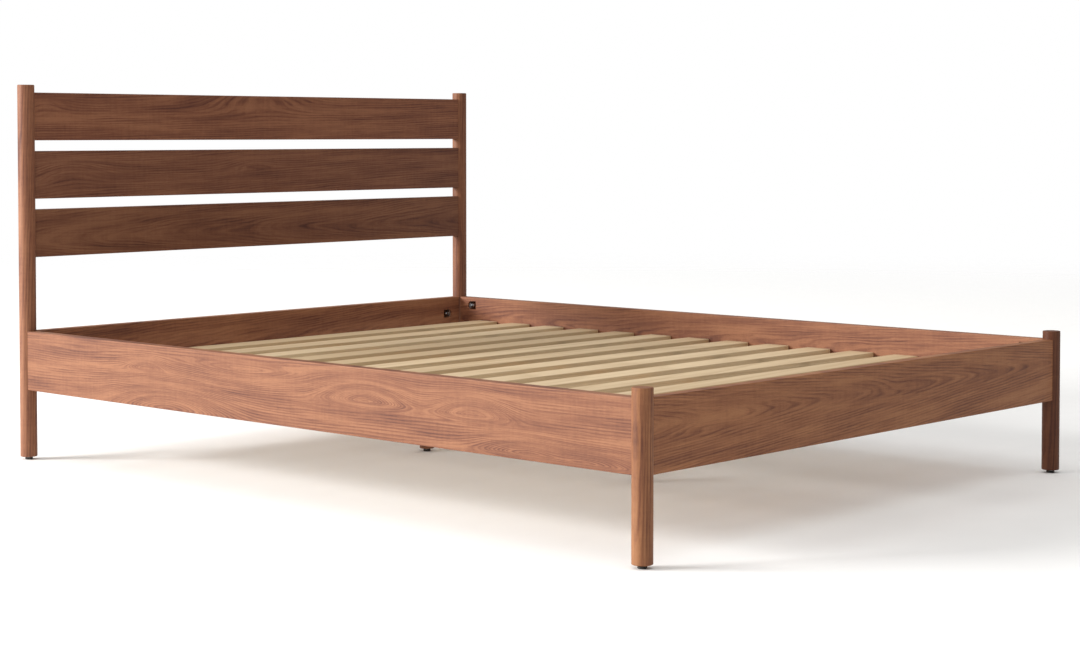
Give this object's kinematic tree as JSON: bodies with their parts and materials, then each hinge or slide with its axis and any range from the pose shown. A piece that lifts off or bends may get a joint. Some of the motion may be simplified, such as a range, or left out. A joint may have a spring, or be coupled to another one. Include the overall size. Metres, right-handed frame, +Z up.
{
  "type": "platform bed frame",
  "caption": "Solid wood platform bed frame: round posts, three-board open headboard, bolted rails and a slatted mattress deck on a centre beam, standing on screw-in levelling feet.",
  "frame": {"origin": "on the floor, under the middle of the bed's overall box, with the levelling feet screwed right in", "axes": "+Z up, +Y towards the headboard, +X to the right of someone who stands at the foot and looks at the headboard"},
  "size_m": [1.666, 2.1479, 0.988],
  "materials": {
    "walnut": "oiled walnut, satin, open grain",
    "slat_wood": "planed poplar, unfinished",
    "ledger_and_beam_wood": "planed pine, unfinished",
    "dowel_wood": "fluted beech dowel rod",
    "zinc_steel": "bright zinc-plated steel",
    "foot_nylon": "moulded black nylon, matt",
    "webbing": "woven black polypropylene tape"
  },
  "bodies": {
    "bed": {"head_post_left": "walnut", "head_post_right": "walnut", "foot_post_left": "walnut", "foot_post_right": "walnut", "headboard_board_top": "walnut", "headboard_board_middle": "walnut", "headboard_board_bottom": "walnut", "head_rail": "walnut", "foot_rail": "walnut", "side_rail_left": "walnut", "side_rail_right": "walnut", "centre_leg_front": "walnut", "centre_leg_rear": "walnut", "ledger_left": "ledger_and_beam_wood", "ledger_right": "ledger_and_beam_wood", "centre_beam": "ledger_and_beam_wood", "mattress_slat_01": "slat_wood", "mattress_slat_02": "slat_wood", "mattress_slat_03": "slat_wood", "mattress_slat_04": "slat_wood", "mattress_slat_05": "slat_wood", "mattress_slat_06": "slat_wood", "mattress_slat_07": "slat_wood", "mattress_slat_08": "slat_wood", "mattress_slat_09": "slat_wood", "mattress_slat_10": "slat_wood", "mattress_slat_11": "slat_wood", "mattress_slat_12": "slat_wood", "mattress_slat_13": "slat_wood", "mattress_slat_14": "slat_wood", "slat_webbing_left": "webbing", "slat_webbing_right": "webbing", "beam_hanger_head": "zinc_steel", "beam_hanger_foot": "zinc_steel", "centre_leg_plates": "zinc_steel", "centre_leg_bolts": "zinc_steel", "rail_inserts": "zinc_steel", "rail_studs": "zinc_steel", "half_moon_washers": "zinc_steel", "rail_nuts": "zinc_steel", "foot_inserts": "zinc_steel", "ledger_screws": "zinc_steel", "slat_screws": "zinc_steel", "hanger_screws": "zinc_steel", "leg_plate_screws": "zinc_steel", "rail_dowels": "dowel_wood"},
    "pad_head_left": {"foot_pad_head_left": "foot_nylon"},
    "stem_head_left": {"foot_stem_head_left": "zinc_steel"},
    "pad_head_right": {"foot_pad_head_right": "foot_nylon"},
    "stem_head_right": {"foot_stem_head_right": "zinc_steel"},
    "pad_foot_left": {"foot_pad_foot_left": "foot_nylon"},
    "stem_foot_left": {"foot_stem_foot_left": "zinc_steel"},
    "pad_foot_right": {"foot_pad_foot_right": "foot_nylon"},
    "stem_foot_right": {"foot_stem_foot_right": "zinc_steel"},
    "pad_centre_rear": {"foot_pad_centre_rear": "foot_nylon"},
    "stem_centre_rear": {"foot_stem_centre_rear": "zinc_steel"},
    "pad_centre_front": {"foot_pad_centre_front": "foot_nylon"},
    "stem_centre_front": {"foot_stem_centre_front": "zinc_steel"}
  },
  "joints": [
    {"name": "head_left_foot_height", "type": "slide", "parent": "bed", "child": "pad_head_left", "axis": [0, 0, -1], "range_m": [0, 0.015]},
    {"name": "head_left_foot_screw", "type": "hinge", "parent": "pad_head_left", "child": "stem_head_left", "pos_m": [-0.811, 1.052, 0], "axis": [0, 0, -1], "range_deg": [0, 4320]},
    {"name": "head_right_foot_height", "type": "slide", "parent": "bed", "child": "pad_head_right", "axis": [0, 0, -1], "range_m": [0, 0.015]},
    {"name": "head_right_foot_screw", "type": "hinge", "parent": "pad_head_right", "child": "stem_head_right", "pos_m": [0.811, 1.052, 0], "axis": [0, 0, -1], "range_deg": [0, 4320]},
    {"name": "foot_left_foot_height", "type": "slide", "parent": "bed", "child": "pad_foot_left", "axis": [0, 0, -1], "range_m": [0, 0.015]},
    {"name": "foot_left_foot_screw", "type": "hinge", "parent": "pad_foot_left", "child": "stem_foot_left", "pos_m": [-0.811, -1.052, 0], "axis": [0, 0, -1], "range_deg": [0, 4320]},
    {"name": "foot_right_foot_height", "type": "slide", "parent": "bed", "child": "pad_foot_right", "axis": [0, 0, -1], "range_m": [0, 0.015]},
    {"name": "foot_right_foot_screw", "type": "hinge", "parent": "pad_foot_right", "child": "stem_foot_right", "pos_m": [0.811, -1.052, 0], "axis": [0, 0, -1], "range_deg": [0, 4320]},
    {"name": "centre_rear_foot_height", "type": "slide", "parent": "bed", "child": "pad_centre_rear", "axis": [0, 0, -1], "range_m": [0, 0.015]},
    {"name": "centre_rear_foot_screw", "type": "hinge", "parent": "pad_centre_rear", "child": "stem_centre_rear", "pos_m": [0, 0.378, 0], "axis": [0, 0, -1], "range_deg": [0, 4320]},
    {"name": "centre_front_foot_height", "type": "slide", "parent": "bed", "child": "pad_centre_front", "axis": [0, 0, -1], "range_m": [0, 0.015]},
    {"name": "centre_front_foot_screw", "type": "hinge", "parent": "pad_centre_front", "child": "stem_centre_front", "pos_m": [0, -0.378, 0], "axis": [0, 0, -1], "range_deg": [0, 4320]}
  ],
  "couplings": [
    {"joint": "head_left_foot_screw", "follows": "head_left_foot_height", "rad_per_m": 5026.5},
    {"joint": "head_right_foot_screw", "follows": "head_right_foot_height", "rad_per_m": 5026.5},
    {"joint": "foot_left_foot_screw", "follows": "foot_left_foot_height", "rad_per_m": 5026.5},
    {"joint": "foot_right_foot_screw", "follows": "foot_right_foot_height", "rad_per_m": 5026.5},
    {"joint": "centre_rear_foot_screw", "follows": "centre_rear_foot_height", "rad_per_m": 5026.5},
    {"joint": "centre_front_foot_screw", "follows": "centre_front_foot_height", "rad_per_m": 5026.5}
  ]
}
